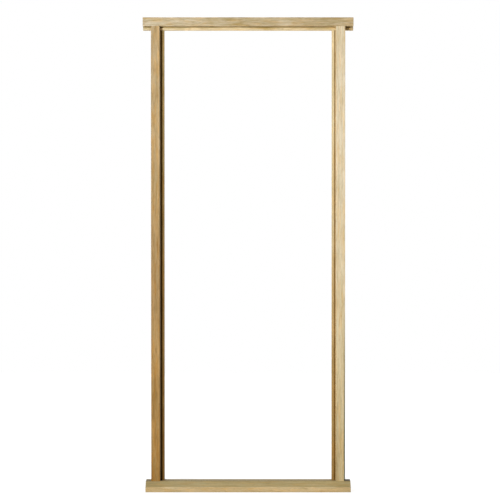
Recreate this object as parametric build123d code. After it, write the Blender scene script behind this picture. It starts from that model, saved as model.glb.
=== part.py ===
from build123d import *
import os

# A timber frame for an outer door, in millimetres. It stands on its sill, +Z up, and the rebated
# side with the sloping sill faces -Y. The origin is under the middle of the sill.

# The door leaf that the frame is made for, and the gaps round it.
door_width = 762.0
door_height = 1981.0
door_thickness = 44.0
side_gap = 3.0
top_gap = 3.0
foot_gap = 6.0
back_gap = 2.0

# The section of the head and the jambs.
frame_depth = 95.0
jamb_face = 40.0
head_face = 38.0
stop_width = 17.0
arris = 1.5

# The groove for a weather seal, in the corner between stop and rebate.
seal_groove_width = 7.0
seal_groove_depth = 8.0

# The sill, with its slope, its rounded nose and the drip groove beneath.
sill_thickness = 44.0
sill_projection = 50.0
nose_height = 21.0
nose_radius = 6.0
drip_groove_width = 6.0
drip_groove_depth = 5.0
drip_groove_setback = 12.0

# The horns, past the outer faces of the jambs.
head_horn = 36.0
sill_horn = 24.0

# The tenons on the jambs, and the wedges that hold them.
tenon_thickness = 32.0
tenon_setback = 31.0
tenon_shoulder = 4.0
glue_gap = 0.1
wedge_length = 32.0
wedge_butt = 5.0
wedge_tip = 1.0

# Places that follow from the sizes.
rebate_width = door_width + 2 * side_gap
rebate_height = door_height + top_gap + foot_gap
rebate_depth = door_thickness + back_gap

back_y = (frame_depth + sill_projection) / 2
front_y = back_y - frame_depth
stop_y = front_y + rebate_depth
nose_y = front_y - sill_projection
tenon_y = front_y + tenon_setback

rebate_x = rebate_width / 2
outer_x = rebate_x + jamb_face
inner_x = rebate_x - stop_width
tenon_inner_x = rebate_x + tenon_shoulder
tenon_outer_x = outer_x - tenon_shoulder

seat_z = sill_thickness
rebate_top_z = seat_z + rebate_height
stop_foot_z = rebate_top_z - stop_width
top_z = rebate_top_z + head_face

os.makedirs("parts", exist_ok=True)


def area(u_from, u_to, v_from, v_to):
    """A filled rectangle between two pairs of limits."""
    middle = Pos((u_from + u_to) / 2, (v_from + v_to) / 2)
    return middle * Rectangle(u_to - u_from, v_to - v_from)


def block(x_from, x_to, y_from, y_to, z_from, z_to):
    """A rectangular solid between three pairs of limits."""
    middle = Pos((x_from + x_to) / 2, (y_from + y_to) / 2, (z_from + z_to) / 2)
    return middle * Box(x_to - x_from, y_to - y_from, z_to - z_from)


def ease(section, corners, radius):
    """Round the corners of a section that lie nearest to the given places."""
    chosen = [section.vertices().sort_by_distance(Vector(u, v, 0))[0] for u, v in corners]
    return fillet(chosen, radius)


def along_x(section, half_length):
    """Run a section drawn in Y and Z along X, the same way to both sides."""
    return extrude(Plane.YZ * section, amount=half_length, both=True)


def along_y(section, y_from, y_to):
    """Run a section drawn in X and Z along Y."""
    plane = Plane(origin=(0, y_from, 0), x_dir=(1, 0, 0), z_dir=(0, -1, 0))
    return extrude(plane * section, amount=y_from - y_to)


def wedge_outline(edge_x, outward, mouth_z, inward):
    """One wedge in X and Z: a straight side against the tenon, a sloping one against the mortise."""
    tip_z = mouth_z + inward * wedge_length
    points = [
        (edge_x, mouth_z),
        (edge_x + outward * wedge_butt, mouth_z),
        (edge_x + outward * wedge_tip, tip_z),
        (edge_x, tip_z),
    ]
    return make_face(Polyline(*points, close=True))


def wedge_pair(mouth_z, inward):
    """The outlines of the two wedges of the right-hand tenon."""
    inner = wedge_outline(tenon_inner_x, -1, mouth_z, inward)
    outer = wedge_outline(tenon_outer_x, 1, mouth_z, inward)
    return [inner, outer]


def both_sides(solid):
    """A solid on the right, and its mirror on the left."""
    return [solid, mirror(solid, about=Plane.YZ)]


def mortise(z_from, z_to, mouth_z, inward):
    """What is cut away for the right-hand tenon and its wedges."""
    cut = block(tenon_inner_x, tenon_outer_x, tenon_y, tenon_y + tenon_thickness, z_from, z_to)
    for outline in wedge_pair(mouth_z, inward):
        cut += along_y(outline, tenon_y, tenon_y + tenon_thickness)
    return cut


def head():
    """The top member: a rebated section with a seal groove, mortised for both jambs."""
    section = area(front_y, back_y, rebate_top_z, top_z)
    section += area(stop_y, back_y, stop_foot_z, rebate_top_z)
    section -= area(stop_y, stop_y + seal_groove_depth, rebate_top_z - seal_groove_width, rebate_top_z)
    corners = [
        (front_y, rebate_top_z),
        (front_y, top_z),
        (back_y, top_z),
        (back_y, stop_foot_z),
        (stop_y, stop_foot_z),
    ]
    solid = along_x(ease(section, corners, arris), outer_x + head_horn)
    for cut in both_sides(mortise(stop_foot_z, top_z, top_z, -1)):
        solid -= cut
    return solid


def right_jamb():
    """An upright of the same kind of section, shouldered round the head's stop, with a tenon at each end."""
    section = area(rebate_x, outer_x, front_y, back_y)
    section += area(inner_x, rebate_x, stop_y, back_y)
    section -= area(rebate_x - seal_groove_width, rebate_x, stop_y, stop_y + seal_groove_depth)
    corners = [
        (rebate_x, front_y),
        (outer_x, front_y),
        (outer_x, back_y),
        (inner_x, back_y),
        (inner_x, stop_y),
    ]
    eased = ease(section, corners, arris)
    solid = Pos(0, 0, seat_z) * extrude(eased, amount=rebate_height)
    solid -= block(inner_x, outer_x, stop_y, back_y, stop_foot_z, rebate_top_z)
    tenon_from = tenon_y + glue_gap
    tenon_to = tenon_y + tenon_thickness - glue_gap
    solid += block(tenon_inner_x, tenon_outer_x, tenon_from, tenon_to, 0, seat_z)
    solid += block(tenon_inner_x, tenon_outer_x, tenon_from, tenon_to, stop_foot_z, top_z)
    return solid


def sill():
    """The bottom member: a flat seat, a slope to a rounded nose, a drip groove and two mortises."""
    outline = Polyline(
        (back_y, 0),
        (back_y, seat_z),
        (front_y, seat_z),
        (nose_y, nose_height),
        (nose_y, 0),
        close=True,
    )
    section = make_face(outline)
    section = ease(section, [(nose_y, nose_height)], nose_radius)
    section = ease(section, [(nose_y, 0), (back_y, 0), (back_y, seat_z)], arris)
    groove_y = nose_y + drip_groove_setback + drip_groove_width / 2
    crown_z = drip_groove_depth - drip_groove_width / 2
    section -= area(groove_y - drip_groove_width / 2, groove_y + drip_groove_width / 2, 0, crown_z)
    section -= Pos(groove_y, crown_z) * Circle(drip_groove_width / 2)
    solid = along_x(section, outer_x + sill_horn)
    for cut in both_sides(mortise(0, seat_z, 0, 1)):
        solid -= cut
    return solid


def wedges(mouth_z, inward):
    """The four wedges of the head or of the sill."""
    solids = []
    for outline in wedge_pair(mouth_z, inward):
        wedge = along_y(outline, tenon_y + glue_gap, tenon_y + tenon_thickness - glue_gap)
        solids += both_sides(wedge)
    return Part() + solids


jamb = right_jamb()
nodes = {
    "head": head(),
    "left_jamb": mirror(jamb, about=Plane.YZ),
    "right_jamb": jamb,
    "sill": sill(),
    "head_wedges": wedges(top_z, -1),
    "sill_wedges": wedges(0, 1),
}
for name, shape in nodes.items():
    export_step(shape, f"parts/{name}.step")
    print(name, len(shape.solids()), "solids,", round(shape.volume / 1000), "cubic centimetres")
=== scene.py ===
import bmesh
import bpy
from mathutils import Matrix, Vector


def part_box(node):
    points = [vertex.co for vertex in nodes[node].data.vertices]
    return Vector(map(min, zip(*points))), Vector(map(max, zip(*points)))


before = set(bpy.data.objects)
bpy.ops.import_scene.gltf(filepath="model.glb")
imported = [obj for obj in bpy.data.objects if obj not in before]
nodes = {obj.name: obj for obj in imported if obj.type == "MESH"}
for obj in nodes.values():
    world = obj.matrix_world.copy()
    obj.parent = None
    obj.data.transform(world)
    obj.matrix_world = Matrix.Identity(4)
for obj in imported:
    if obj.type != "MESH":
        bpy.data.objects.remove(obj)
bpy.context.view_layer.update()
print("frame loaded:", ", ".join(sorted(nodes)))


# The camera stands far off, a little above the middle, and looks slightly down at the frame.
cameraView = {
    "place": (0.0083, -14.0225, 1.413),
    "aim": (0.0083, -0.0225, 1.0564),
    "viewWidth": 2.185,      # metres across the picture where the camera aims
    "sensor": 36,            # millimetres
    "sight": 100,            # metres
}


def pointedAt(place, aim):
    # the turn of a camera or a lamp that looks from its place to its aim
    return (Vector(aim) - Vector(place)).to_track_quat("-Z", "Y").to_euler()


def placeCamera(view):
    place, aim = Vector(view["place"]), Vector(view["aim"])
    data = bpy.data.cameras.new("cameraData")
    data.sensor_width = view["sensor"]
    data.lens = view["sensor"] * (aim - place).length / view["viewWidth"]
    data.clip_end = view["sight"]
    camera = bpy.data.objects.new("camera", data)
    camera.location = place
    camera.rotation_euler = pointedAt(place, aim)
    bpy.context.scene.collection.objects.link(camera)
    bpy.context.scene.camera = camera


placeCamera(cameraView)
bpy.context.scene.view_settings.view_transform = "Standard"
print("camera placed")


class Tap:
    # one output socket that can stand in a sum
    def __init__(self, recipe, socket):
        self.recipe = recipe
        self.socket = socket

    def __add__(self, other):
        return self.recipe.work("ADD", self, other)

    def __radd__(self, other):
        return self.recipe.work("ADD", other, self)

    def __sub__(self, other):
        return self.recipe.work("SUBTRACT", self, other)

    def __rsub__(self, other):
        return self.recipe.work("SUBTRACT", other, self)

    def __mul__(self, other):
        return self.recipe.work("MULTIPLY", self, other)

    def __rmul__(self, other):
        return self.recipe.work("MULTIPLY", other, self)

    def __truediv__(self, other):
        return self.recipe.work("DIVIDE", self, other)

    def __rtruediv__(self, other):
        return self.recipe.work("DIVIDE", other, self)


class Recipe:
    # the node tree of one material, or of the world
    def __init__(self, tree):
        self.tree = tree
        tree.nodes.clear()

    def add(self, kind, settings=None, sockets=None, output=0):
        # any node: its settings first, then the value or the link of each socket
        node = self.tree.nodes.new(kind)
        for name, value in (settings or {}).items():
            setattr(node, name, value)
        pairs = sockets.items() if isinstance(sockets, dict) else enumerate(sockets or ())
        for name, value in pairs:
            if isinstance(value, Tap):
                self.tree.links.new(value.socket, node.inputs[name])
            else:
                node.inputs[name].default_value = value
        return Tap(self, node.outputs[output]) if len(node.outputs) else None

    def work(self, operation, *values):
        return self.add("ShaderNodeMath", {"operation": operation}, values)

    def split(self, vector):
        parts = self.add("ShaderNodeSeparateXYZ", None, [vector])
        return [Tap(self, socket) for socket in parts.socket.node.outputs]

    def join(self, x, y, z):
        return self.add("ShaderNodeCombineXYZ", None, [x, y, z])

    def noise(self, field, x, y, z):
        return self.add("ShaderNodeTexNoise", None, {"Vector": self.join(x, y, z), **field})

    def step(self, value, low, high):
        # nought at low, one at high, and a smooth rise between them
        settings = {"interpolation_type": "SMOOTHSTEP"}
        return self.add("ShaderNodeMapRange", settings, [value, low, high, 0.0, 1.0])

    def blend(self, mask, first, second, way="MIX"):
        # a Mix node has sockets for each kind of value: 6, 7 and output 2 are those for colours
        settings = {"data_type": "RGBA", "blend_type": way}
        return self.add("ShaderNodeMix", settings, {0: mask, 6: first, 7: second}, 2)

    def scaled(self, colour, amount):
        return self.add("ShaderNodeVectorMath", {"operation": "SCALE"}, {"Vector": colour, "Scale": amount})


def newRecipe(name):
    material = bpy.data.materials.new(name)
    material.use_nodes = True
    return material, Recipe(material.node_tree)


def paint(red, green, blue):
    # a colour as a picture editor gives it, made linear
    def curve(level):
        share = level / 255
        return share / 12.92 if share <= 0.04045 else ((share + 0.055) / 1.055) ** 2.4
    return (curve(red), curve(green), curve(blue), 1.0)


def grey(level):
    return (level, level, level, 1.0)


def swing(noise, amount):
    # a noise lies about a half, and this swings about nought
    return (noise - 0.5) * amount


# The fields of noise in a timber.
fields = {
    "wander": {"Scale": 1.0, "Detail": 2.0, "Roughness": 0.5},
    "ripple": {"Scale": 22.0, "Detail": 2.0, "Roughness": 0.5},
    "cloud": {"Scale": 14.0, "Detail": 3.0, "Roughness": 0.6},
    "band": {"Scale": 95.0, "Detail": 2.0, "Roughness": 0.55},
    "streak": {"Scale": 240.0, "Detail": 3.0, "Roughness": 0.65},
    "fibre": {"Scale": 1500.0, "Detail": 2.0, "Roughness": 0.6},
    "hue": {"Scale": 150.0, "Detail": 2.0, "Roughness": 0.6},
    "fleck": {"Scale": 210.0, "Detail": 0.0, "Roughness": 0.5},
    "pore": {"Scale": 1700.0, "Detail": 0.0, "Roughness": 0.5},
    "saw": {"Scale": 900.0, "Detail": 1.0, "Roughness": 0.5},
    "planer": {"Scale": 620.0, "Detail": 0.0, "Roughness": 0.5},
}

# How much of a distance counts in a field: the less, the longer its marks are drawn out. It is the
# distance along the grain, but across it for saw and planer marks, and in depth for bandDeep.
paces = {
    "wanderAcross": 1.3,
    "wanderDeep": 1.1,
    "ripple": 0.1,
    "cloud": 0.5,
    "band": 0.09,
    "bandDeep": 0.6,
    "streak": 0.09,
    "fibre": 0.02,
    "hue": 0.12,
    "fleck": 0.16,
    "pore": 0.045,
    "saw": 0.08,
    "planer": 0.05,
}

# The two values between which each of these comes in, or ends.
levels = {
    "lateWood": (0.35, 0.9),
    "lateWoodEnd": (0.93, 1.0),
    "earlyWoodEnd": (0.12, 0.4),
    "fleck": (0.6, 0.74),
    "pore": (0.56, 0.7),
    "warm": (0.5, 0.66),
    "cool": (0.5, 0.34),
    "arris": (0.88, 0.76),
    "rubbed": (0.4, 0.56),
    "cutEnd": (0.6, 0.85),
}

# Metres that the rings swing in and out, and what keeps the two wanders of the pith unlike.
rings = {"ripple": 0.006, "wanderApart": 7.0}

# How much of one thing goes into another.
shares = {
    "poreAnywhere": 0.25,
    "poreInEarlyWood": 0.75,
    "rubbedCloud": 0.6,
    "rubbedStreak": 0.4,
    "rubbedPaler": 0.1,
    "cutEndDarker": 0.25,
    "cutEndRings": 0.3,
    "driftRed": 0.8,         # dark streaks are browner, and pale ones creamier
    "driftBlue": 1.65,
}

# Heights in metres, then the roughness of a plain face and how much the others change it.
relief = {"fibre": 0.00006, "pore": 0.00012, "lateWood": 0.00003, "saw": 0.00012, "planer": 0.000006}
rough = {"plain": 0.62, "pore": 0.2, "lateWood": 0.05, "cutEnd": 0.2, "cloud": 0.1, "rubbed": 0.1}
gloss = 0.12


def findPlace(recipe, grain):
    # where a point lies in the frame, which way its face looks, and both along the grain.
    # "square" is near one on the flat sides and the slope, and less on an arris.
    x, y, z = recipe.split(recipe.add("ShaderNodeTexCoord", None, None, "Object"))
    normals = recipe.split(recipe.add("ShaderNodeTexCoord", None, None, "Normal"))
    facings = [recipe.work("ABSOLUTE", part) for part in normals]
    place = {"x": x, "side": recipe.work("ABSOLUTE", x), "y": y, "z": z, "up": normals[2]}
    place["square"] = recipe.work("MAXIMUM", recipe.work("MAXIMUM", facings[0], facings[1]), facings[2])
    if grain == "upright":
        return {**place, "along": z, "across": x, "endFacing": facings[2]}
    return {**place, "along": x, "across": z, "endFacing": facings[0]}


def growRings(recipe, wood, place):
    # the pith wanders along the piece, so the lines on a face are never quite straight
    seed, along, across, depth = wood["seed"], place["along"], place["across"], place["y"]
    wanderAcross = recipe.noise(fields["wander"], along * paces["wanderAcross"], seed, 0.0)
    wanderDeep = recipe.noise(fields["wander"], along * paces["wanderDeep"], seed, rings["wanderApart"])
    acrossPith = across - wood["pith"][0] + swing(wanderAcross, wood["wander"])
    depthPith = depth - wood["pith"][1] + swing(wanderDeep, wood["wander"])
    ripple = recipe.noise(fields["ripple"], across, depth, along * paces["ripple"] + seed)
    fromPith = recipe.work("SQRT", acrossPith * acrossPith + depthPith * depthPith)
    radius = fromPith + swing(ripple, rings["ripple"])
    growth = recipe.work("FRACT", radius / wood["ringWidth"])
    lateWood = recipe.step(growth, *levels["lateWood"]) * (1 - recipe.step(growth, *levels["lateWoodEnd"]))
    earlyWood = 1 - recipe.step(growth, *levels["earlyWoodEnd"])
    return radius, lateWood, earlyWood


def growTimber(recipe, wood, place):
    # the rings, and streaks that follow them, from a hand's width down to single fibres
    radius, lateWood, earlyWood = growRings(recipe, wood, place)
    seed, along, across, depth = wood["seed"], place["along"], place["across"], place["y"]
    run = along * wood["stretch"]
    cloud = recipe.noise(fields["cloud"], across, depth, run * paces["cloud"] + seed)
    band = recipe.noise(fields["band"], radius, depth * paces["bandDeep"], run * paces["band"] + seed)
    streak = recipe.noise(fields["streak"], radius + seed, depth, run * paces["streak"])
    fibre = recipe.noise(fields["fibre"], across, depth, along * paces["fibre"] + seed)
    hue = recipe.noise(fields["hue"], radius, depth + seed, run * paces["hue"])
    fleckField = recipe.noise(fields["fleck"], radius, depth + seed, run * paces["fleck"])
    poreField = recipe.noise(fields["pore"], across, depth, along * paces["pore"] + seed)
    poreShare = shares["poreAnywhere"] + earlyWood * shares["poreInEarlyWood"]
    wear = cloud * shares["rubbedCloud"] + streak * shares["rubbedStreak"]
    return {
        "lateWood": lateWood,
        "cloud": cloud,
        "band": band,
        "streak": streak,
        "fibre": fibre,
        "hue": hue,
        "fleck": recipe.step(fleckField, *levels["fleck"]),
        "pore": recipe.step(poreField, *levels["pore"]) * poreShare,
        "rubbed": recipe.step(place["square"], *levels["arris"]) * recipe.step(wear, *levels["rubbed"]),
        "cutEnd": recipe.step(place["endFacing"], *levels["cutEnd"]),
    }


def patch(recipe, place, limits):
    # one inside the limits and nought outside, fading between the numbers of each pair
    mask = 1.0
    for axis, (rise, risen, fall, fallen) in limits.items():
        inside = recipe.step(place[axis], rise, risen) * (1 - recipe.step(place[axis], fall, fallen))
        mask = inside * mask
    return mask


def colourTimber(recipe, wood, place, grown):
    # tones from the foot or left end to the top or right end, with warm and cool patches
    colour = recipe.blend(recipe.step(place["along"], *wood["span"]), wood["startTone"], wood["endTone"])
    for patchHue in ("warm", "cool"):
        mask = recipe.step(grown["hue"], *levels[patchHue])
        colour = recipe.blend(mask, colour, wood[patchHue], "MULTIPLY")
    drift = swing(grown["cloud"], wood["cloud"]) + swing(grown["band"], wood["band"])
    drift = drift + swing(grown["streak"], wood["streak"]) + swing(grown["fibre"], wood["fibre"])
    tint = recipe.join(1 + drift * shares["driftRed"], 1 + drift, 1 + drift * shares["driftBlue"])
    colour = recipe.blend(1.0, colour, tint, "MULTIPLY")
    # cut ends drink in light, and rubbed arrises are paler
    light = (1 - grown["cutEnd"] * shares["cutEndDarker"]) * (1 + grown["rubbed"] * shares["rubbedPaler"])
    colour = recipe.scaled(colour, light)
    brown = grown["lateWood"] * (wood["lateWood"] + grown["cutEnd"] * shares["cutEndRings"])
    brown = brown + grown["fleck"] * wood["fleck"] + grown["pore"] * wood["pore"]
    colour = recipe.blend(brown, colour, wood["brown"], "MULTIPLY")
    for mark in wood["marks"]:
        mask = patch(recipe, place, mark["limits"])
        colour = recipe.blend(mask, colour, (*mark["tone"], 1.0), "MULTIPLY")
    return colour


def raiseGrain(recipe, wood, place, grown):
    # open pores, raised fibres and planer marks, with saw marks on the cut ends
    along, across, depth = place["along"], place["across"], place["y"]
    saw = recipe.noise(fields["saw"], across * paces["saw"], depth, wood["seed"]) * grown["cutEnd"]
    planer = recipe.noise(fields["planer"], across * paces["planer"], depth * paces["planer"], along)
    height = grown["fibre"] * relief["fibre"] - grown["pore"] * relief["pore"]
    height = height + grown["lateWood"] * relief["lateWood"]
    height = height + saw * relief["saw"] + planer * relief["planer"]
    return recipe.add("ShaderNodeBump", None, {"Strength": 1.0, "Distance": 1.0, "Height": height})


def roughenTimber(grown):
    roughness = rough["plain"] + grown["pore"] * rough["pore"] - grown["lateWood"] * rough["lateWood"]
    roughness = roughness + grown["cutEnd"] * rough["cutEnd"] + swing(grown["cloud"], rough["cloud"])
    return roughness - grown["rubbed"] * rough["rubbed"]


def timber(name, wood):
    # one planed length of hardwood, with rings round a pith that lies beside the piece
    material, recipe = newRecipe(name)
    place = findPlace(recipe, wood["grain"])
    grown = growTimber(recipe, wood, place)
    shader = recipe.add("ShaderNodeBsdfPrincipled", None, {
        "Base Color": colourTimber(recipe, wood, place, grown),
        "Roughness": roughenTimber(grown),
        "Normal": raiseGrain(recipe, wood, place, grown),
        "Specular IOR Level": gloss,
    })
    recipe.add("ShaderNodeOutputMaterial", None, {"Surface": shader})
    return material


# The knife edges that saw and plane leave are eased by hand with sandpaper.
easing = {
    "merge": 0.00001,        # metres
    "flatness": 0.02,        # radians, under which two faces count as one
    "sharpness": 0.75,       # radians, over which an edge is eased
    "width": 0.0004,         # metres
    "rounds": 2,
}


def dress(node, material):
    for slot in nodes[node].material_slots:
        slot.material = material
    joined = nodes[node].modifiers.new("joined", "WELD")
    joined.merge_threshold = easing["merge"]
    planed = nodes[node].modifiers.new("planed", "DECIMATE")
    planed.decimate_type = "DISSOLVE"
    planed.angle_limit = easing["flatness"]
    eased = nodes[node].modifiers.new("eased", "BEVEL")
    eased.width = easing["width"]
    eased.segments = easing["rounds"]
    eased.limit_method = "ANGLE"
    eased.angle_limit = easing["sharpness"]
    eased.harden_normals = True


# Edges that the marks keep to: the outer ones from the CAD's boxes, the inner ones from the section.
section = {
    "stopWidth": 0.017,
    "rebateDepth": 0.046,
    "grooveWidth": 0.007,
    "grooveDepth": 0.008,
    "noseHeight": 0.021,
}
jambLow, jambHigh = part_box("right_jamb")
headLow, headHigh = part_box("head")
sillLow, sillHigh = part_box("sill")
front = jambLow.y
rebateSide = jambLow.x + section["stopWidth"]
rebateTop = headLow.z + section["stopWidth"]
grooveSide = rebateSide - section["grooveWidth"]
grooveFoot = rebateTop - section["grooveWidth"]
stopFront = front + section["rebateDepth"]
grooveBack = stopFront + section["grooveDepth"]
noStart = (-3.0, -2.0)       # both lie outside the frame
noEnd = (3.0, 4.0)


def near(edge, start, end):
    # a mark's fade at an edge, in metres past it, or before it where a number is negative
    return (edge + start, edge + end)


# A mark is a patch of another tone. Each of its limits has four numbers: the mark comes in between the
# first two and goes out between the last two. "side" is the distance from the frame's middle, to the
# left or right, and "up" is how far a face looks up.
stopFace = {"y": (*near(stopFront, -0.0007, 0.0003), *near(stopFront, 0.0065, 0.0315))}
grooveDepth = {"y": (*near(stopFront, -0.0003, 0.0005), *near(grooveBack, 0.0003, 0.001))}
jambFace = {"y": (*noStart, *near(front, 0.0045, 0.0225))}
jambStop = {"side": (*noStart, *near(grooveSide, -0.0002, 0.0005)), **stopFace}
jambGroove = {
    "side": (*near(grooveSide, -0.0005, 0.0002), *near(rebateSide, 0.0001, 0.0008)),
    **grooveDepth,
}
towardFoot = {"z": (*noStart, 0.1, 1.9)}
belowRebate = {"z": (*noStart, *near(rebateTop, 0.0001, 0.0008))}
headStop = {**belowRebate, **stopFace, "up": (-0.9, -0.6, *noEnd)}
headGroove = {
    "z": (*near(grooveFoot, -0.0005, 0.0002), *near(rebateTop, 0.0001, 0.0008)),
    **grooveDepth,
}
headUnderside = {"up": (*noStart, -0.9, -0.6)}
hornFront = {**belowRebate, "y": (*near(stopFront, -0.0035, -0.0005), *near(stopFront, 0.0095, 0.0265))}
leftHorn = {"x": (*noStart, *near(-jambHigh.x, -0.006, 0.006))}
rightHornEnd = {"x": (*near(headHigh.x, -0.017, -0.011), *noEnd)}
sillSlope = {
    "y": (*near(sillLow.y, 0.0001, 0.0065), *noEnd),
    "z": (*near(section["noseHeight"], -0.005, 0.001), *noEnd),
}
seatHeight = {"z": (*near(sillHigh.z, -0.008, -0.002), *noEnd)}

# What every piece has, unless its own dictionary says otherwise. Each also has a seed, which shifts its
# noise, and its pith, the centre of its rings: metres across the piece and in depth.
hardwood = {
    "grain": "upright",
    "wander": 0.02,                     # metres that the pith swings from side to side
    "ringWidth": 0.0034,
    "stretch": 0.8,                     # the more, the shorter the streaks
    "span": (0.0, 2.07),                # metres between which startTone turns into endTone
    "warm": (1.08, 0.98, 0.78, 1.0),
    "cool": (0.94, 1.0, 1.06, 1.0),
    "brown": (0.36, 0.22, 0.1, 1.0),    # the tone of late wood, flecks and pores
    "cloud": 0.6,                       # how strong the streaks are, from broad ones to fibres
    "band": 0.68,
    "streak": 0.78,
    "fibre": 0.45,
    "lateWood": 0.14,                   # how much of the brown tone each of these takes
    "fleck": 0.2,
    "pore": 0.42,
    "marks": [],
}
milderHues = {"warm": (1.06, 0.985, 0.86, 1.0), "cool": (0.96, 1.0, 1.03, 1.0)}

leftJamb = {
    **hardwood,
    "seed": 3.1,
    "pith": (-0.53, 0.01),
    "startTone": paint(177, 137, 77),
    "endTone": paint(190, 163, 118),
    "marks": [
        # painted shade: the groove and the stop are darker than the face, as the front of the jamb shades
        # them, and more so towards the foot
        {"tone": (0.54, 0.47, 0.21), "limits": jambGroove},
        {"tone": (0.6, 0.68, 0.85), "limits": {**jambGroove, **towardFoot}},
        {"tone": (0.65, 0.63, 0.41), "limits": jambStop},
        {"tone": (0.72, 0.69, 0.7), "limits": {**jambStop, **towardFoot}},
        # the inner part of the face is paler towards the top, and the face is duller below half way up
        {
            "tone": (1.07, 1.07, 1.07),
            "limits": {
                "side": (*noStart, *near(rebateSide, 0.012, 0.018)),
                **jambFace,
                "z": (0.5, 1.5, *noEnd),
            },
        },
        {"tone": (0.91, 0.89, 0.87), "limits": {**jambFace, "z": (0.55, 0.8, 1.05, 1.3)}},
        # painted shade: the inner arris, turned away from the lamp, is the darkest line of the front,
        # painted wider than the arris
        {
            "tone": (0.11, 0.1, 0.065),
            "limits": {
                "side": (*near(rebateSide, -0.004, -0.001), *near(rebateSide, 0.002, 0.003)),
                "y": (*noStart, *near(front, 0.0035, 0.0175)),
            },
        },
    ],
}
dress("left_jamb", timber("leftJambTimber", leftJamb))

rightJamb = {
    **hardwood,
    **milderHues,
    "seed": 8.7,
    "pith": (0.55, 0.03),
    "stretch": 0.6,
    "span": (-0.2, 1.6),
    "startTone": paint(226, 203, 151),
    "endTone": paint(238, 220, 184),
    "cloud": 0.46,
    "band": 0.5,
    "streak": 0.58,
    "fleck": 0.14,
    "marks": [
        # painted shade darkens the groove; the stop is darker and yellower, more so towards the foot
        {"tone": (0.74, 0.67, 0.52), "limits": jambGroove},
        {"tone": (0.8, 0.65, 0.38), "limits": {**jambGroove, "z": (*noStart, 0.1, 2.1)}},
        {"tone": (0.85, 0.85, 0.72), "limits": jambStop},
        {"tone": (0.57, 0.4, 0.21), "limits": {**jambStop, **towardFoot}},
        # near the foot, the inner part of the face is duller
        {
            "tone": (0.78, 0.78, 0.78),
            "limits": {
                "side": (*noStart, *near(rebateSide, 0.001, 0.028)),
                **jambFace,
                "z": (*noStart, 0.1, 0.6),
            },
        },
        # painted shade: the outer edge turns dark towards the foot, where the shaded outer side comes into
        # view
        {
            "tone": (0.12, 0.14, 0.05),
            "limits": {
                "side": (*near(jambHigh.x, -0.0063, -0.0035), *noEnd),
                "y": (*noStart, *near(front, 0.0045, 0.0175)),
                "z": (*noStart, 0.2, 1.0),
            },
        },
    ],
}
dress("right_jamb", timber("rightJambTimber", rightJamb))

headTimber = {
    **hardwood,
    **milderHues,
    "grain": "level",
    "seed": 5.3,
    "pith": (2.16, 0.02),
    "wander": 0.008,
    "stretch": 1.1,
    "span": (-0.46, 0.46),
    "startTone": paint(202, 184, 148),
    "endTone": paint(197, 176, 134),
    "cloud": 0.72,
    "band": 0.82,
    "streak": 0.9,
    "marks": [
        # the stop is paler than the face, and the groove darker with painted shade
        {"tone": (1.36, 1.4, 1.42), "limits": headStop},
        {"tone": (0.64, 0.61, 0.5), "limits": headGroove},
        # below the rebate, the left horn is a little duller with less painted shade in its groove, and the
        # right one is darker towards its end with painted shadow of the jamb
        {"tone": (0.8, 0.82, 0.79), "limits": {**hornFront, **leftHorn}},
        {"tone": (1.16, 1.15, 1.18), "limits": {**headGroove, **leftHorn}},
        {"tone": (0.8, 0.8, 0.86), "limits": {**hornFront, **rightHornEnd}},
        # painted light: all that looks down is paler, as if lit from below by the white floor
        {"tone": (1.5, 1.5, 1.45), "limits": headUnderside},
    ],
}
dress("head", timber("headTimber", headTimber))

sillTimber = {
    **hardwood,
    **milderHues,
    "grain": "level",
    "seed": 1.9,
    "pith": (-0.08, 0.03),
    "span": (-0.45, 0.45),
    "startTone": paint(214, 188, 139),
    "endTone": paint(225, 197, 145),
    "cloud": 0.33,
    "band": 0.38,
    "streak": 0.42,
    "fleck": 0.1,
    "marks": [
        # painted shade: the slope and the seat, which face up, are duller than the nose, and the seat
        # duller still; the lowest edge is a little duller too
        {"tone": (0.74, 0.79, 0.745), "limits": sillSlope},
        {"tone": (0.92, 0.93, 0.94), "limits": {"z": (*noStart, 0.004, 0.008)}},
        {
            "tone": (0.66, 0.66, 0.65),
            "limits": {"y": (*near(front, -0.0035, 0.0025), *noEnd), **seatHeight},
        },
        # the right end is a little duller in front
        {
            "tone": (0.84, 0.84, 0.8),
            "limits": {
                "x": (*near(sillHigh.x, -0.004, -0.0015), *noEnd),
                "y": (*noStart, *near(front, 0.0025, 0.0225)),
            },
        },
        # painted shade: the seat is darker on both horns, and darkest on the right one, where the shadow of
        # the jamb is painted
        {
            "tone": (0.7, 0.68, 0.6),
            "limits": {
                "side": (*near(jambHigh.x, -0.001, 0.0005), *noEnd),
                "y": (*near(front, -0.0075, 0.0015), *noEnd),
                **seatHeight,
            },
        },
        {
            "tone": (0.4, 0.38, 0.32),
            "limits": {
                "x": (*near(jambHigh.x, -0.001, 0.0005), *near(sillHigh.x, -0.003, 0.052)),
                "y": (*near(front, -0.0015, 0.0045), *noEnd),
                **seatHeight,
            },
        },
    ],
}
dress("sill", timber("sillTimber", sillTimber))

wedgeTimber = {
    **hardwood,
    "seed": 12.4,
    "pith": (-0.2, 0.2),
    "wander": 0.01,
    "ringWidth": 0.0022,
    "startTone": paint(150, 118, 76),
    "endTone": paint(158, 126, 84),
}
wedgeMaterial = timber("wedgeTimber", wedgeTimber)
dress("head_wedges", wedgeMaterial)
dress("sill_wedges", wedgeMaterial)
print("timber dressed")


def seenByCamera(recipe):
    # one for what the camera sees, also in a mirror or through glass
    camera = recipe.add("ShaderNodeLightPath", None, None, "Is Camera Ray")
    glossy = recipe.add("ShaderNodeLightPath", None, None, "Is Glossy Ray")
    through = recipe.add("ShaderNodeLightPath", None, None, "Is Transmission Ray")
    return recipe.work("MAXIMUM", recipe.work("MAXIMUM", camera, glossy), through)


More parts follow.
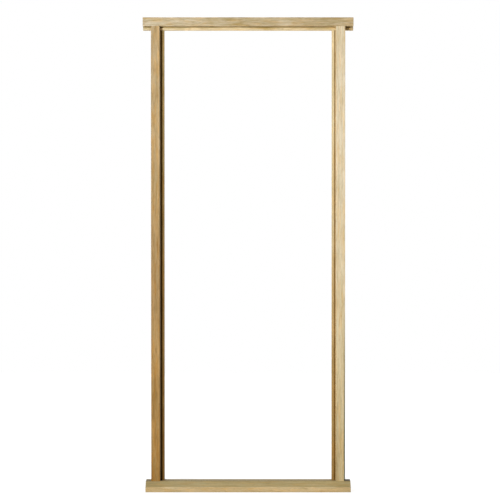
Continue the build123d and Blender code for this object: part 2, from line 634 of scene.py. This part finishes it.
# One pale floor, white to the camera except for part of the shadow it carries, and open from beneath.
floorSettings = {
    "reach": 8.0,                # metres from the middle to each side
    "cells": 4,
    "depth": 0.0003,             # metres below the sill
    "paleness": 0.8,
    "glow": 0.88,                # its strength close to the frame
    "glowRise": (0.9, 2.4),      # metres from the middle between which it rises to 1
    "shadowPaint": 0.3,
}


def layFloor(settings):
    mesh = bpy.data.meshes.new("floor")
    shape = bmesh.new()
    lower = Matrix.Translation((0.0, 0.0, -settings["depth"]))
    cells = settings["cells"]
    bmesh.ops.create_grid(shape, x_segments=cells, y_segments=cells, size=settings["reach"], matrix=lower)
    shape.to_mesh(mesh)
    shape.free()
    floor = bpy.data.objects.new("floor", mesh)
    bpy.context.scene.collection.objects.link(floor)
    material, recipe = newRecipe("floorPaint")
    place = recipe.add("ShaderNodeTexCoord", None, None, "Object")
    distance = recipe.add("ShaderNodeVectorMath", {"operation": "LENGTH"}, [place], 1)
    near = 1 - recipe.step(distance, *settings["glowRise"])
    glow = 1 - near * (1 - settings["glow"])
    matt = recipe.add("ShaderNodeBsdfDiffuse", None, {"Color": grey(settings["paleness"])})
    white = recipe.add("ShaderNodeEmission", None, {"Color": grey(1.0), "Strength": glow})
    shadow = recipe.add("ShaderNodeBsdfDiffuse", None, {"Color": grey(settings["shadowPaint"])})
    shown = recipe.add("ShaderNodeAddShader", None, [white, shadow])
    above = recipe.add("ShaderNodeMixShader", None, [seenByCamera(recipe), matt, shown])
    beneath = recipe.add("ShaderNodeNewGeometry", None, None, "Backfacing")
    clear = recipe.add("ShaderNodeBsdfTransparent")
    surface = recipe.add("ShaderNodeMixShader", None, [beneath, above, clear])
    recipe.add("ShaderNodeOutputMaterial", None, {"Surface": surface})
    mesh.materials.append(material)


layFloor(floorSettings)
print("floor laid")


# Square lamps, one in front on the left, one above and two behind, and an even room.
room = {"level": 0.17}
backLamp = {"aim": (0.0, 0.0, 1.0), "width": 1.2, "watts": 58}
lamps = {
    "mainLamp": {"place": (-1.13, -3.52, 2.12), "aim": (0.0, 0.0, 1.1), "width": 0.35, "watts": 105},
    "topLamp": {"place": (0.0, 0.9, 4.3), "aim": (0.0, 0.0, 1.0), "width": 1.6, "watts": 30},
    "backLampRight": {"place": (2.6, 3.2, 0.6), **backLamp},
    "backLampLeft": {"place": (-2.6, 3.2, 0.6), **backLamp},
}


def lightRoom(settings):
    world = bpy.data.worlds.new("room")
    bpy.context.scene.world = world
    world.use_nodes = True
    recipe = Recipe(world.node_tree)
    even = recipe.add("ShaderNodeBackground", None, {"Color": grey(1.0), "Strength": settings["level"]})
    white = recipe.add("ShaderNodeBackground", None, {"Color": grey(1.0), "Strength": 1.0})
    surface = recipe.add("ShaderNodeMixShader", None, [seenByCamera(recipe), even, white])
    recipe.add("ShaderNodeOutputWorld", None, {"Surface": surface})


def hangLamp(name, lamp):
    data = bpy.data.lights.new(name, "AREA")
    data.shape = "SQUARE"
    data.size = lamp["width"]
    data.energy = lamp["watts"]
    light = bpy.data.objects.new(name, data)
    light.location = lamp["place"]
    light.rotation_euler = pointedAt(lamp["place"], lamp["aim"])
    bpy.context.scene.collection.objects.link(light)


lightRoom(room)
for name, lamp in lamps.items():
    hangLamp(name, lamp)
print("lamps hung")
